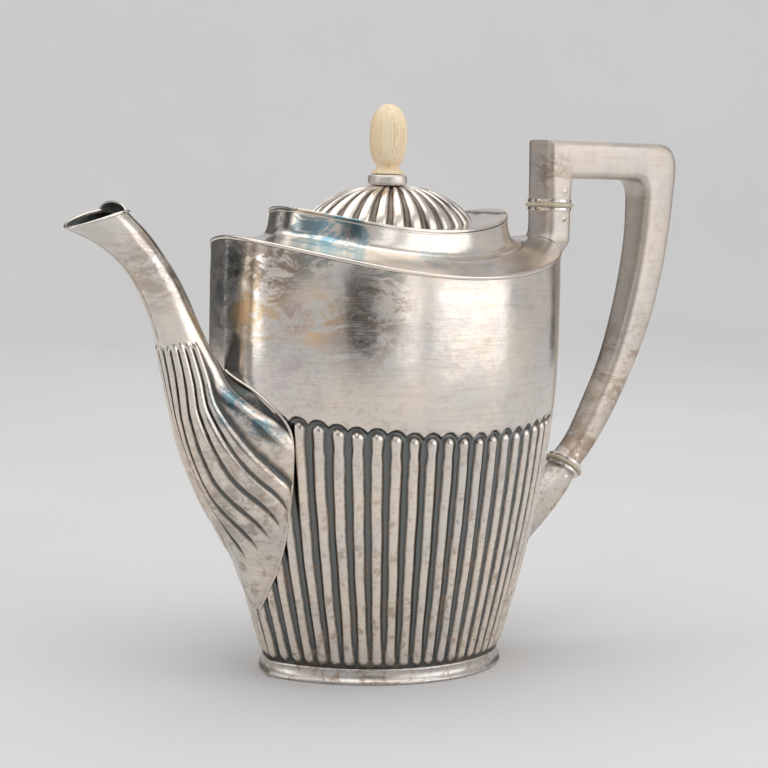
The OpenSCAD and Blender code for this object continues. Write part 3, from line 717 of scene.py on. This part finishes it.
def spout_side(s, shares):
    """Points across the far side of the spout, from the front ridge to the back edge."""
    front_x, front_z, back_x, back_z, wide, half_1, half_2, share_1, share_2, lift_1, lift_2 = s
    wide = max(0.0, wide)
    if wide >= 0.05:
        a, b, p = body_plan(back_z)
        back_x = min(-oval_x(a, b, p, wide) - 0.15, back_x)
    front = np.array([front_x, 0, front_z])
    back = np.array([back_x, 0, back_z])
    run = back - front
    curve = [front, front + share_1 * run + [0, half_1, lift_1],
             back - share_2 * run + [0, half_2, lift_2], back + [0, wide, 0]]
    t = shares[:, None]
    return (curve[0] * (1 - t) ** 3 + 3 * curve[1] * t * (1 - t) ** 2
            + 3 * curve[2] * t ** 2 * (1 - t) + curve[3] * t ** 3)


def spout_lobes(station, shares):
    """Height of the lobes at a station and at shares across the half spout, and how high each point
    stands, which sets the tarnish and painted shade in the grooves between them. The place counts
    lobes from the front ridge, and a plain hollow panel lies behind the last one, painted dark with
    shade."""
    width = np.interp(station, LOBE_LAY[:, 0], LOBE_LAY[:, 1])
    over = np.interp(station, LOBE_LAY[:, 0], LOBE_LAY[:, 2])
    place = (shares + over - over * np.exp(-shares / 0.04)) / width
    last = LOBES - 1
    place = np.where(place < last, place, last + (place - last) / LAST_LOBE_WIDER)
    ends = 0.10 * (2 * (place % 1) - 1) ** 2
    start = np.where(place < last, smoothstep(4.56 + ends, 4.68 + ends, station),
                     smoothstep(3.4, 6.0, station))
    fade = 1 - smoothstep(9.8, 11.4, station + 1.1 * shares - 0.3)
    wave = np.abs(np.sin(np.pi * np.clip(place, 0, last + 0.5))) ** 0.7
    panel = smoothstep(last + 0.5, last + 1.25, place) * (1 - smoothstep(8, 9.2, station))
    size = np.interp(station, [4.6, 7.5], [0.9, 1.35])
    height = (size * wave - PANEL_DEPTH * panel) * start * fade
    # the grooves between the lobes are painted darker, and the hollow panel is painted dark with
    # shade
    wear_and_shade = np.where(place < last + 0.5, wave, 1.0 - 0.7 * panel)
    return height, 1 - start * fade * (1 - wear_and_shade)


def spout_half(side, name, node):
    rows = smooth_rows(SPOUT, SPOUT_ROWS)
    shares = np.linspace(0, 1, SPOUT_COLS) ** 1.3
    outer = np.array([spout_side(s, shares) for s in rows])
    along = np.gradient(outer, axis=0)
    across = np.gradient(outer, axis=1)
    normal = np.cross(along, across)
    normal /= np.linalg.norm(normal, axis=2, keepdims=True)
    # the normals point away from the middle plane
    if normal[..., 1].sum() < 0:
        normal = -normal
    lobes, relief = np.zeros(outer.shape[:2]), np.ones(outer.shape[:2])
    for j in range(len(rows)):
        lobes[j], relief[j] = spout_lobes(j / SPOUT_ROWS, shares)
        # on the upper spout a darker line is painted close beside the front ridge
        if j < 4.5 * SPOUT_ROWS:
            relief[j] -= 0.5 * np.exp(-((shares - 0.03) / 0.02) ** 2)
    # the front ridge keeps its line, and so does the back edge wherever it meets the body
    lobes[:, 0] = 0
    lobes[:, -1] *= np.where(rows[:, 4] > 0.05, 0.0, 1.0)
    skin = outer + normal * lobes[..., None]
    inner = outer - normal * SPOUT_WALL
    on_plane = outer[..., 1] < 0.01
    inner[..., 1] = np.where(on_plane, 0, np.maximum(inner[..., 1], 0.3))
    skin[..., 1] = np.where(on_plane, 0, np.maximum(skin[..., 1], 0))
    flip = np.array([1, side, 1])
    # the inside of the spout gets a low relief, so it is painted dark with shade
    wear_and_shade = np.concatenate([relief.ravel(), np.full(relief.size, 0.3)])
    add_sheet(name, skin * flip, inner * flip, "pot", "silver_body", spout_look,
              replaces=[node], relief=wear_and_shade)
    seam = [skin[j, -1] * flip for j in range(len(rows)) if rows[j, 4] > 0.3]
    add_tube(name + "_edge", seam, 0.55, "pot", "silver_bright", bright_look)


def spout_lip():
    shares = np.linspace(0, 1, 30)
    far = spout_side(SPOUT[0], shares)
    near = far[-2:0:-1] * [1, -1, 1]
    path = np.concatenate([far, near]) + [0, 0, 0.55]
    add_tube("lip_wire", path, 0.57, "pot", "silver_bright", bright_look,
             closed=True, replaces=["spout_lip_wire"])


def spout_hood():
    """A low half-round tongue across the spout's mouth: a dished sheet with a beaded edge."""
    low, high = box_mm("spout_hood")
    x, half, rise = low[0] - AXIS_X, high[1], high[2] - low[2]
    arc = np.linspace(0, math.pi, 33)
    front = np.array([[(x + 1.4 * (1 - share ** 2), share * half * math.cos(t),
                        low[2] + share * rise * math.sin(t) ** 0.85) for t in arc]
                      for share in np.linspace(0, 1, 10)])
    # the tongue gets a low relief all over, so it is painted dark with shade
    add_sheet("spout_tongue", front, front + [0.6, 0, 0], "pot", "silver_bright", dark_look,
              replaces=["spout_hood"], relief=np.full(2 * front.size // 3, 0.3))
    add_tube("spout_tongue_edge", front[-1] + [0.3, 0, -0.1], 0.42, "pot", "silver_bright",
             bright_look)


# ---- handle ----

LEG_X = UPPER_RING[0]
LEG_HALF, LEG_DEEP = 6.7, 8.0
BAR_TOP, BAR_UNDER = 208.4, 192.6
LOWER_HALF = 5.6
CHAMFER = 2.4
LEAN = np.array([math.sin(LOWER_LEAN), math.cos(LOWER_LEAN)])
LEAN_SIDE = np.array([LEAN[1], -LEAN[0]])


def square_section(out, inner, half, chamfer=CHAMFER):
    """A square section with softened chamfers between two points of the handle's outline."""
    o = np.array([out[0], 0, out[1]])
    i = np.array([inner[0], 0, inner[1]])
    c = chamfer * (i - o) / np.linalg.norm(i - o)
    w = half - chamfer
    corners = [(o, -w), (o + c, -half), (i - c, -half), (i, -w),
               (i, w), (i - c, half), (o + c, half), (o, w)]
    points = [p + [0, y, 0] for p, y in corners]
    for cut in (0.16, 0.25):
        soft = []
        for a, b in zip(points, points[1:] + points[:1]):
            soft += [a + (b - a) * cut, b + (a - b) * cut]
        points = soft
    return np.array(points)


def handle():
    """The loop from stations of outer x and z, inner x and z, and half depth."""
    end = UPPER_RING[1] + RING_T / 2 + COLLAR_H
    leg = LEG_X - LEG_HALF, LEG_X + LEG_HALF
    straight = [(leg[0], end, leg[1], end, LEG_DEEP),
                (leg[0], BAR_TOP, leg[1], BAR_UNDER, LEG_DEEP)]
    curved = [(138.5, BAR_TOP, 123, BAR_UNDER, 8), (143.8, BAR_TOP, 127.6, BAR_UNDER, 8),
              (148.6, 206.9, 131, 191.7, 8), (151.4, 203.4, 132.9, 189.3, 8),
              (152.3, 198, 133.9, 186.3, 8), (151.5, 184.5, 133.9, 182, 7.9),
              (149.7, 167.3, 133.2, 169.6, 7.5), (146.3, 150, 130.7, 154.2, 7.2),
              (140.6, 131, 126, 135.5, 6.9), (131.6, 111.7, 119.2, 116.6, 6.5),
              (120.6, 92.7, 109.8, 99, 6.1), (110.6, 79.1, 101.2, 85, 5.8)]
    foot_point = LOWER_RING + (RING_T / 2 + COLLAR_H) * LEAN
    out, within = foot_point + LOWER_HALF * LEAN_SIDE, foot_point - LOWER_HALF * LEAN_SIDE
    curved.append((*out, *within, LOWER_HALF))
    rows = straight + list(smooth_rows(curved, 8))
    rings = [square_section(q[:2], q[2:4], q[4]) for q in rows]
    add_stack("handle_loop", rings, "pot", "silver_body", handle_look, replaces=["handle"],
              sharp=32)


def upper_socket():
    top = UPPER_RING[1] - RING_T / 2 - COLLAR_H
    near, far = LEG_X - LEG_HALF, LEG_X + LEG_HALF
    stations = [(near, top, far, top, LEG_DEEP), (near, 171, far, 171, LEG_DEEP),
                (near - 2.6, 166, far - 0.5, 166, LEG_DEEP), (73, 160.5, 87.8, 160.5, 5.4),
                (73, 155, 82.8, 155, 3), (74, 150, 79.2, 150, 1.2)]
    rings = [square_section(q[:2], q[2:4], q[4], min(CHAMFER, 0.42 * q[4]))
             for q in smooth_rows(stations, 6)]
    add_stack("upper_socket_shell", rings, "pot", "silver_body", handle_look,
              replaces=["upper_socket"])


def lower_socket():
    end = LOWER_RING - (RING_T / 2 + COLLAR_H) * LEAN
    out, within = end + LOWER_HALF * LEAN_SIDE, end - LOWER_HALF * LEAN_SIDE
    stations = [(*out, *within, LOWER_HALF), (95, 60, 81.5, 67.5, 5.6), (86, 51, 68, 62.5, 5.2),
                (77.2, 43.2, 60, 52, 4.2), (69.4, 36, 56, 41, 2.8), (62.6, 27.5, 54, 30, 1.2)]
    rings = [square_section(q[:2], q[2:4], q[4], 0.42 * q[4]) for q in smooth_rows(stations, 6)]
    add_stack("lower_socket_shell", rings, "pot", "silver_body", handle_look,
              replaces=["lower_socket"])


def upright(x, z):
    return Matrix.Translation((x, 0, z))


def leaning(x, z):
    return Matrix.Translation((x, 0, z)) @ Matrix.Rotation(LOWER_LEAN, 4, "Y")


def collar(radius, bore, side):
    """A thin ring above (side 1) or below (side -1) an insulator's disc."""
    low = RING_T / 2 if side > 0 else -RING_T / 2 - COLLAR_H
    outer = [(bore, low), (radius - 0.1, low), (radius, low + 0.2), (radius, low + COLLAR_H - 0.2),
             (radius - 0.1, low + COLLAR_H), (bore, low + COLLAR_H)]
    curve = rounded(outer)
    return curve + [curve[0]]


def insulator(radius, tenon):
    """A disc with a tenon up into the handle and one down into the socket."""
    h = RING_T / 2
    outer = [(tenon, -h), (radius - 0.5, -h), (radius, -h * 0.4), (radius, h * 0.4),
             (radius - 0.5, h), (tenon, h)]
    return ([(0, -TENON_END), (tenon, -TENON_END)] + rounded(outer)
            + [(tenon, TENON_END), (0, TENON_END)])


def insulators():
    """Both insulators, and the thin rings that end the handle and the sockets beside them."""
    breaks = (("upper", upright(*UPPER_RING), UPPER_RING_R, UPPER_COLLAR_R, UPPER_TENON_R),
              ("lower", leaning(*LOWER_RING), LOWER_RING_R, LOWER_COLLAR_R, LOWER_TENON_R))
    for name, place, radius, _, tenon in breaks:
        add_lathe(f"insulator_{name}", insulator(radius, tenon), place, "pot", "ivory",
                  insulator_look, replaces=[f"{name}_insulator"])
    for name, place, _, radius, tenon in breaks:
        for end, side, part in (("top", 1, "handle"), ("foot", -1, "socket")):
            add_lathe(f"collar_{name}_{end}", collar(radius, tenon, side), place, "pot",
                      "silver_bright", bright_look, replaces=[f"{name}_{part}_collar"])


def pins():
    """Domed ends of the four pins that hold the insulators, one piece for each pin."""
    off, proud = 5.2, 0.3
    places = [((85.5, 187.4), LEG_DEEP + proud), ((85.5, 175.8), LEG_DEEP + proud),
              (LOWER_RING + off * LEAN, LOWER_HALF + proud),
              (LOWER_RING - off * LEAN, LOWER_HALF + proud)]
    for k, ((x, z), half) in enumerate(places):
        profile = [(0, -half), (0.7, -half + 0.08), (1.2, -half + 0.3), (0.85, -half + 0.5),
                   (0.85, half - 0.5), (1.2, half - 0.3), (0.7, half - 0.08), (0, half)]
        lying = Matrix.Translation((x, 0, z)) @ Matrix.Rotation(math.pi / 2, 4, "X")
        pin = add_lathe(f"insulator_pin_{k}", profile, lying, "pot", "silver_dark", dark_look,
                        sides=24)
        if k == 0:
            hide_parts("insulator_pins")


# ---- lid ----

LOBE_CUT = 1.25


def plate_ring(share, up):
    a = DOME_A - 2 + (GALLERY_A - DOME_A + 2) * share
    b = DOME_B - 2 + (GALLERY_B - DOME_B + 2) * share
    points = ring(a, b, GALLERY_POINT * share, 0, 0, OVAL_POINTS)
    points[:, 2] = [sheer(x) + LID_GAP + up for x in points[:, 0]]
    return points


def cut_box(piece, low, high):
    """Takes a box, in millimetres from the pot's axis, out of a piece."""
    low = (np.array(low, float) + [AXIS_X, 0, 0]) * MM
    high = (np.array(high, float) + [AXIS_X, 0, 0]) * MM
    bm = bmesh.new()
    bmesh.ops.create_cube(bm, size=1)
    bm.transform(Matrix.Translation(Vector((low + high) / 2))
                 @ Matrix.Diagonal((*(high - low), 1)))
    tool_mesh = bpy.data.meshes.new("cut")
    bm.to_mesh(tool_mesh)
    bm.free()
    tool = bpy.data.objects.new("cut", tool_mesh)
    scene.collection.objects.link(tool)
    cut = piece.modifiers.new("cut", "BOOLEAN")
    cut.operation = "DIFFERENCE"
    cut.solver = "EXACT"
    cut.object = tool
    bpy.context.view_layer.update()
    done = piece.evaluated_get(bpy.context.evaluated_depsgraph_get())
    mesh = bpy.data.meshes.new_from_object(done)
    piece.modifiers.remove(cut)
    piece.data = mesh
    bpy.data.objects.remove(tool)


def lid_plate():
    """The lid's plate, from rings of (share of its size, height above its underside)."""
    rows = [(0, 0), (0.5, 0), (0.985, 0), (1, 0.25), (1, 0.8), (0.985, PLATE_T), (0.9, PLATE_T),
            (0.6, PLATE_T), (0.3, PLATE_T), (0, PLATE_T)]
    plate = add_rings("lid_plate_sheet", [plate_ring(s, up) for s, up in rows], "lid",
                      "silver_shoulder", shoulder_look, replaces=["lid_plate"])
    # the plate ends just in front of the pin, with a notch for the knuckles
    cut_box(plate, (HINGE_X - 0.8, -30, 160), (HINGE_X + 20, 30, 200))
    cut_box(plate, (HINGE_X - HINGE_CLEAR, -9.5, 160), (HINGE_X + 20, 9.5, 200))


def lid_bezel():
    """The flange under the lid that drops into the gallery."""
    rings = []
    for inset, up in ((2.1, -4), (2.1, 0), (3, 0), (3, -4)):
        rings.append(ring(GALLERY_A - inset, GALLERY_B - inset, GALLERY_POINT,
                          GALLERY_Z + LID_GAP + up, GALLERY_RISE, OVAL_POINTS))
    bezel = add_rings("lid_bezel_band", rings, "lid", "silver_shoulder", shoulder_look,
                      replaces=["lid_bezel"])
    # the flange stops short of the hinge
    cut_box(bezel, (40, -30, 160), (60, 30, 200))


def dome_height(share, x):
    base = sheer(x) + LID_GAP + PLATE_T
    return base + (DOME_Z - base) * np.maximum(0, 1 - ((share - 0.2) / 0.8) ** 2) ** 0.75


def dome_ring(share, inset, n):
    """A lobed ring of the dome at a share of its size, and how high each of its points stands,
    which sets its tarnish and painted shade.
    """
    angles = np.arange(n) * 2 * math.pi / n
    lobe = np.abs(((angles / (2 * math.pi) * DOME_LOBES) % 1) - 0.5) * 2
    deep = LOBE_CUT * smoothstep(0.38, 0.85, lobe) * smoothstep(0.18, 0.5, share)
    crown = 0.25 * (1 - lobe ** 2) * smoothstep(0.2, 0.5, share)
    cut = deep - crown
    x, y = DOME_A * share * np.cos(angles), DOME_B * share * np.sin(angles)
    base = sheer(x) + LID_GAP + PLATE_T
    sunk = (cut + inset) * smoothstep(1.0, 0.85, share)
    height = np.maximum(dome_height(share, x) - sunk, base - 1.0 * (inset > 0))
    spread = 1 - (cut + inset) * smoothstep(0.7, 1.0, share) / np.hypot(x, y)
    return np.stack([x * spread, y * spread, height], axis=1), 1 - deep / LOBE_CUT


def dome():
    n = DOME_LOBES * LOBE_STEPS
    shares = np.concatenate([[1, 0.995, 0.985, 0.97, 0.95], np.linspace(0.92, 0.2, 22),
                             [0.15, 0.1]])
    outer = [dome_ring(s, 0, n) for s in shares]
    inner = [dome_ring(s, SHEET_T, n) for s in shares[::-2]]
    rings = [r for r, _ in outer + inner]
    relief = np.array([w for _, w in outer] + [np.ones(n)] * len(inner))
    add_rings("dome_gadroons", rings, "lid", "silver_body", dome_look, replaces=["lid_dome"],
              relief=relief)


def washer():
    z, h = DOME_Z, WASHER_H
    profile = rounded([(1.6, z), (6.9, z), (7.6, z + 0.8), (7.7, z + 2.2), (7.6, z + h - 0.8),
                       (6.8, z + h), (1.6, z + h)])
    add_lathe("finial_seat", profile + [profile[0]], upright(FINIAL_X, 0), "lid",
              "silver_bright", washer_look, replaces=["finial_washer"])


def finial():
    base = DOME_Z + WASHER_H
    foot_part = rounded([(0.01, base), (6.3, base), (6.5, base + 0.5), (6.3, base + 1.0),
                         (5.6, base + 1.15), (5.5, base + 1.7), (4.6, base + 2.2),
                         (4.3, base + 3.2)])
    upper_half, lower_half, radius = 12.5, 14, 7.4
    middle = TOP_Z - upper_half
    barrel = []
    for k in range(1, 33):
        z = base + 4 + (TOP_Z - base - 4) * math.sin(math.radians(90 * k / 32))
        reach = abs(z - middle) / (upper_half if z > middle else lower_half)
        barrel.append((radius * math.sqrt(max(0, 1 - reach ** 2.5)), z))
    profile = [(r, z, 0) for r, z in foot_part]
    profile += [(r, z, 0.04 * smoothstep(base + 4, base + 8, z)) for r, z in barrel]
    n = 96
    angles = np.arange(n) * 2 * math.pi / n
    rings = []
    for r, z, lobed in profile:
        reach = max(r, 0.01) * (1 - lobed * (1 - np.abs(np.cos(4 * angles)) ** 0.6))
        rings.append(np.stack([FINIAL_X + reach * np.cos(angles), reach * np.sin(angles),
                               np.full(n, z)], axis=1))
    add_stack("finial_egg", rings, "lid", "ivory", finial_look, replaces=["finial"])


# ---- what stays as packed ----

for node, look in (("base_plate", body_look), ("gallery_hinge_leaf", bright_look),
                   ("hinge_pin", dark_look), ("lid_hinge_leaf", bright_look),
                   ("finial_stud", dark_look), ("finial_nut", dark_look)):
    packed = frame["nodes"][node]
    packed.data.materials.clear()
    packed.data.materials.append(look)

for build in (body_shell, foot, rim, shoulder, gallery, gallery_tip, spout_lip, spout_hood,
              handle, upper_socket, lower_socket, insulators, pins, lid_plate, lid_bezel, dome,
              washer, finial):
    build()
spout_half(1, "spout_far", "spout_half_far")
spout_half(-1, "spout_near", "spout_half_near")


# ---- stage, light and camera ----


def stage_look():
    look = Look("pale_stage")
    cloud = look.between(look.noise(3, 2), 0.3, 0.7)
    near = look.mix(cloud, (0.675, 0.67, 0.665), (0.70, 0.695, 0.69))
    # painted light: the wall is painted lighter the higher it stands
    colour = look.mix(look.between(look.height(), 0.0, 1.0), near, (0.76, 0.755, 0.75))
    look.shader.inputs["Specular IOR Level"].default_value = 0.2
    return look.finish(colour, 0.75, look.bump(look.noise(60, 3), 0.02))


def stage_piece(name, points, faces, look):
    mesh = bpy.data.meshes.new(name)
    mesh.from_pydata(points, [], faces)
    mesh.shade_smooth()
    piece = bpy.data.objects.new(name, mesh)
    scene.collection.objects.link(piece)
    mesh.materials.append(look)
    return piece


def turned(profile, n=96):
    """A surface of revolution round the scene's middle from (radius, height) in metres, a hair
    below the heights given, so that the floor never meets the foot's own underside."""
    hair = 0.0001
    points = [(r * math.cos(a), r * math.sin(a), z - hair) for r, z in profile
              for a in np.arange(n) * 2 * math.pi / n]
    return points, grid_faces(len(profile), n)


def floor():
    """A pale floor and the wall it curves up into. The silver doesn't mirror the wall: it
    mirrors the dim room and the soft lights."""
    radius, bend, height = 2.6, 0.9, 2.4
    look = stage_look()
    stage_piece("floor", *turned([(0.001, 0), (0.3, 0), (1.0, 0), (radius - bend, 0)]), look)
    wall = [(radius - bend + bend * math.sin(t), bend - bend * math.cos(t))
            for t in np.linspace(0, math.pi / 2, 15)]
    backdrop = stage_piece("backdrop", *turned(wall + [(radius, height)]), look)
    backdrop.visible_glossy = False


def card(name, facing, half_turn, grey=0.02, distance=1.35, top=1.1):
    """A dark card that only the silver sees, standing at an angle round the pot."""
    look = Look("dark_card")
    look.shader.inputs["Specular IOR Level"].default_value = 0
    material = look.finish((grey, grey, grey, 1), 0.9, look.bump(look.noise(10), 0.01))
    angles = np.radians(facing) + np.radians(half_turn) * np.array([-1, -0.5, 0, 0.5, 1])
    points = [(distance * math.cos(a), distance * math.sin(a), z) for z in (0.001, top)
              for a in angles]
    piece = stage_piece(name, points, grid_faces(2, 5, wrap_cols=False), material)
    piece.visible_camera = False
    piece.visible_shadow = False
    piece.visible_diffuse = False


def soft_light(name, place, aim, size, power):
    data = bpy.data.lights.new(name, "AREA")
    data.shape = "RECTANGLE"
    data.size, data.size_y = size
    data.energy = power
    lamp = bpy.data.objects.new(name, data)
    lamp.location = place
    lamp.rotation_euler = (Vector(aim) - Vector(place)).to_track_quat("-Z", "Y").to_euler()
    lamp.visible_camera = False
    scene.collection.objects.link(lamp)


def side_light(name, facing, width, power, distance=1.5, top=1.3):
    """An upright soft box that stands on the floor at an angle round the pot."""
    place = (distance * math.cos(math.radians(facing)), distance * math.sin(math.radians(facing)),
             top / 2)
    soft_light(name, place, (0, 0, top / 2), (width, top), power)


def lights():
    world = bpy.data.worlds.new("studio")
    world.use_nodes = True
    sky = world.node_tree.nodes["Background"].inputs
    sky["Color"].default_value = (0.98, 0.98, 1.0, 1)
    sky["Strength"].default_value = 0.55
    scene.world = world
    side_light("right_box", -56, 1.2, 5.4)
    side_light("front_box", -90, 0.28, 1.0)
    side_light("left_box", 171, 0.30, 2.0)
    soft_light("top", (0, 0.1, 2.2), (0, 0.1, 0), (3.0, 3.0), 34)
    card("camera_card", -117, 8, 0.1)
    card("left_card", 150, 9, 0.06)
    card("far_card", 90, 24, 0.14)
    card("right_card", 20, 10)


def camera():
    """A long lens on the near side, towards the spout, at the height of the lid and tilted down."""
    turn, tilt, roll = math.radians(38.5), math.radians(5.5), math.radians(1.3)
    distance = 841
    ahead = Vector((math.sin(turn) * math.cos(tilt), math.cos(turn) * math.cos(tilt),
                    -math.sin(tilt)))
    right = Vector((math.cos(turn), -math.sin(turn), 0))
    up = right.cross(ahead)
    image_right = right * math.cos(roll) + up * math.sin(roll)
    image_up = up * math.cos(roll) - right * math.sin(roll)
    target = Vector((-1.4 + AXIS_X, 0, 110.4))
    data = bpy.data.cameras.new("camera")
    data.lens = 100
    data.sensor_width = 36
    eye = bpy.data.objects.new("camera", data)
    axes = Matrix((image_right, image_up, -ahead)).transposed().to_4x4()
    eye.matrix_world = Matrix.Translation((target - ahead * distance) * MM) @ axes
    scene.collection.objects.link(eye)
    scene.camera = eye


camera()
floor()
lights()
scene.view_settings.view_transform = "Standard"
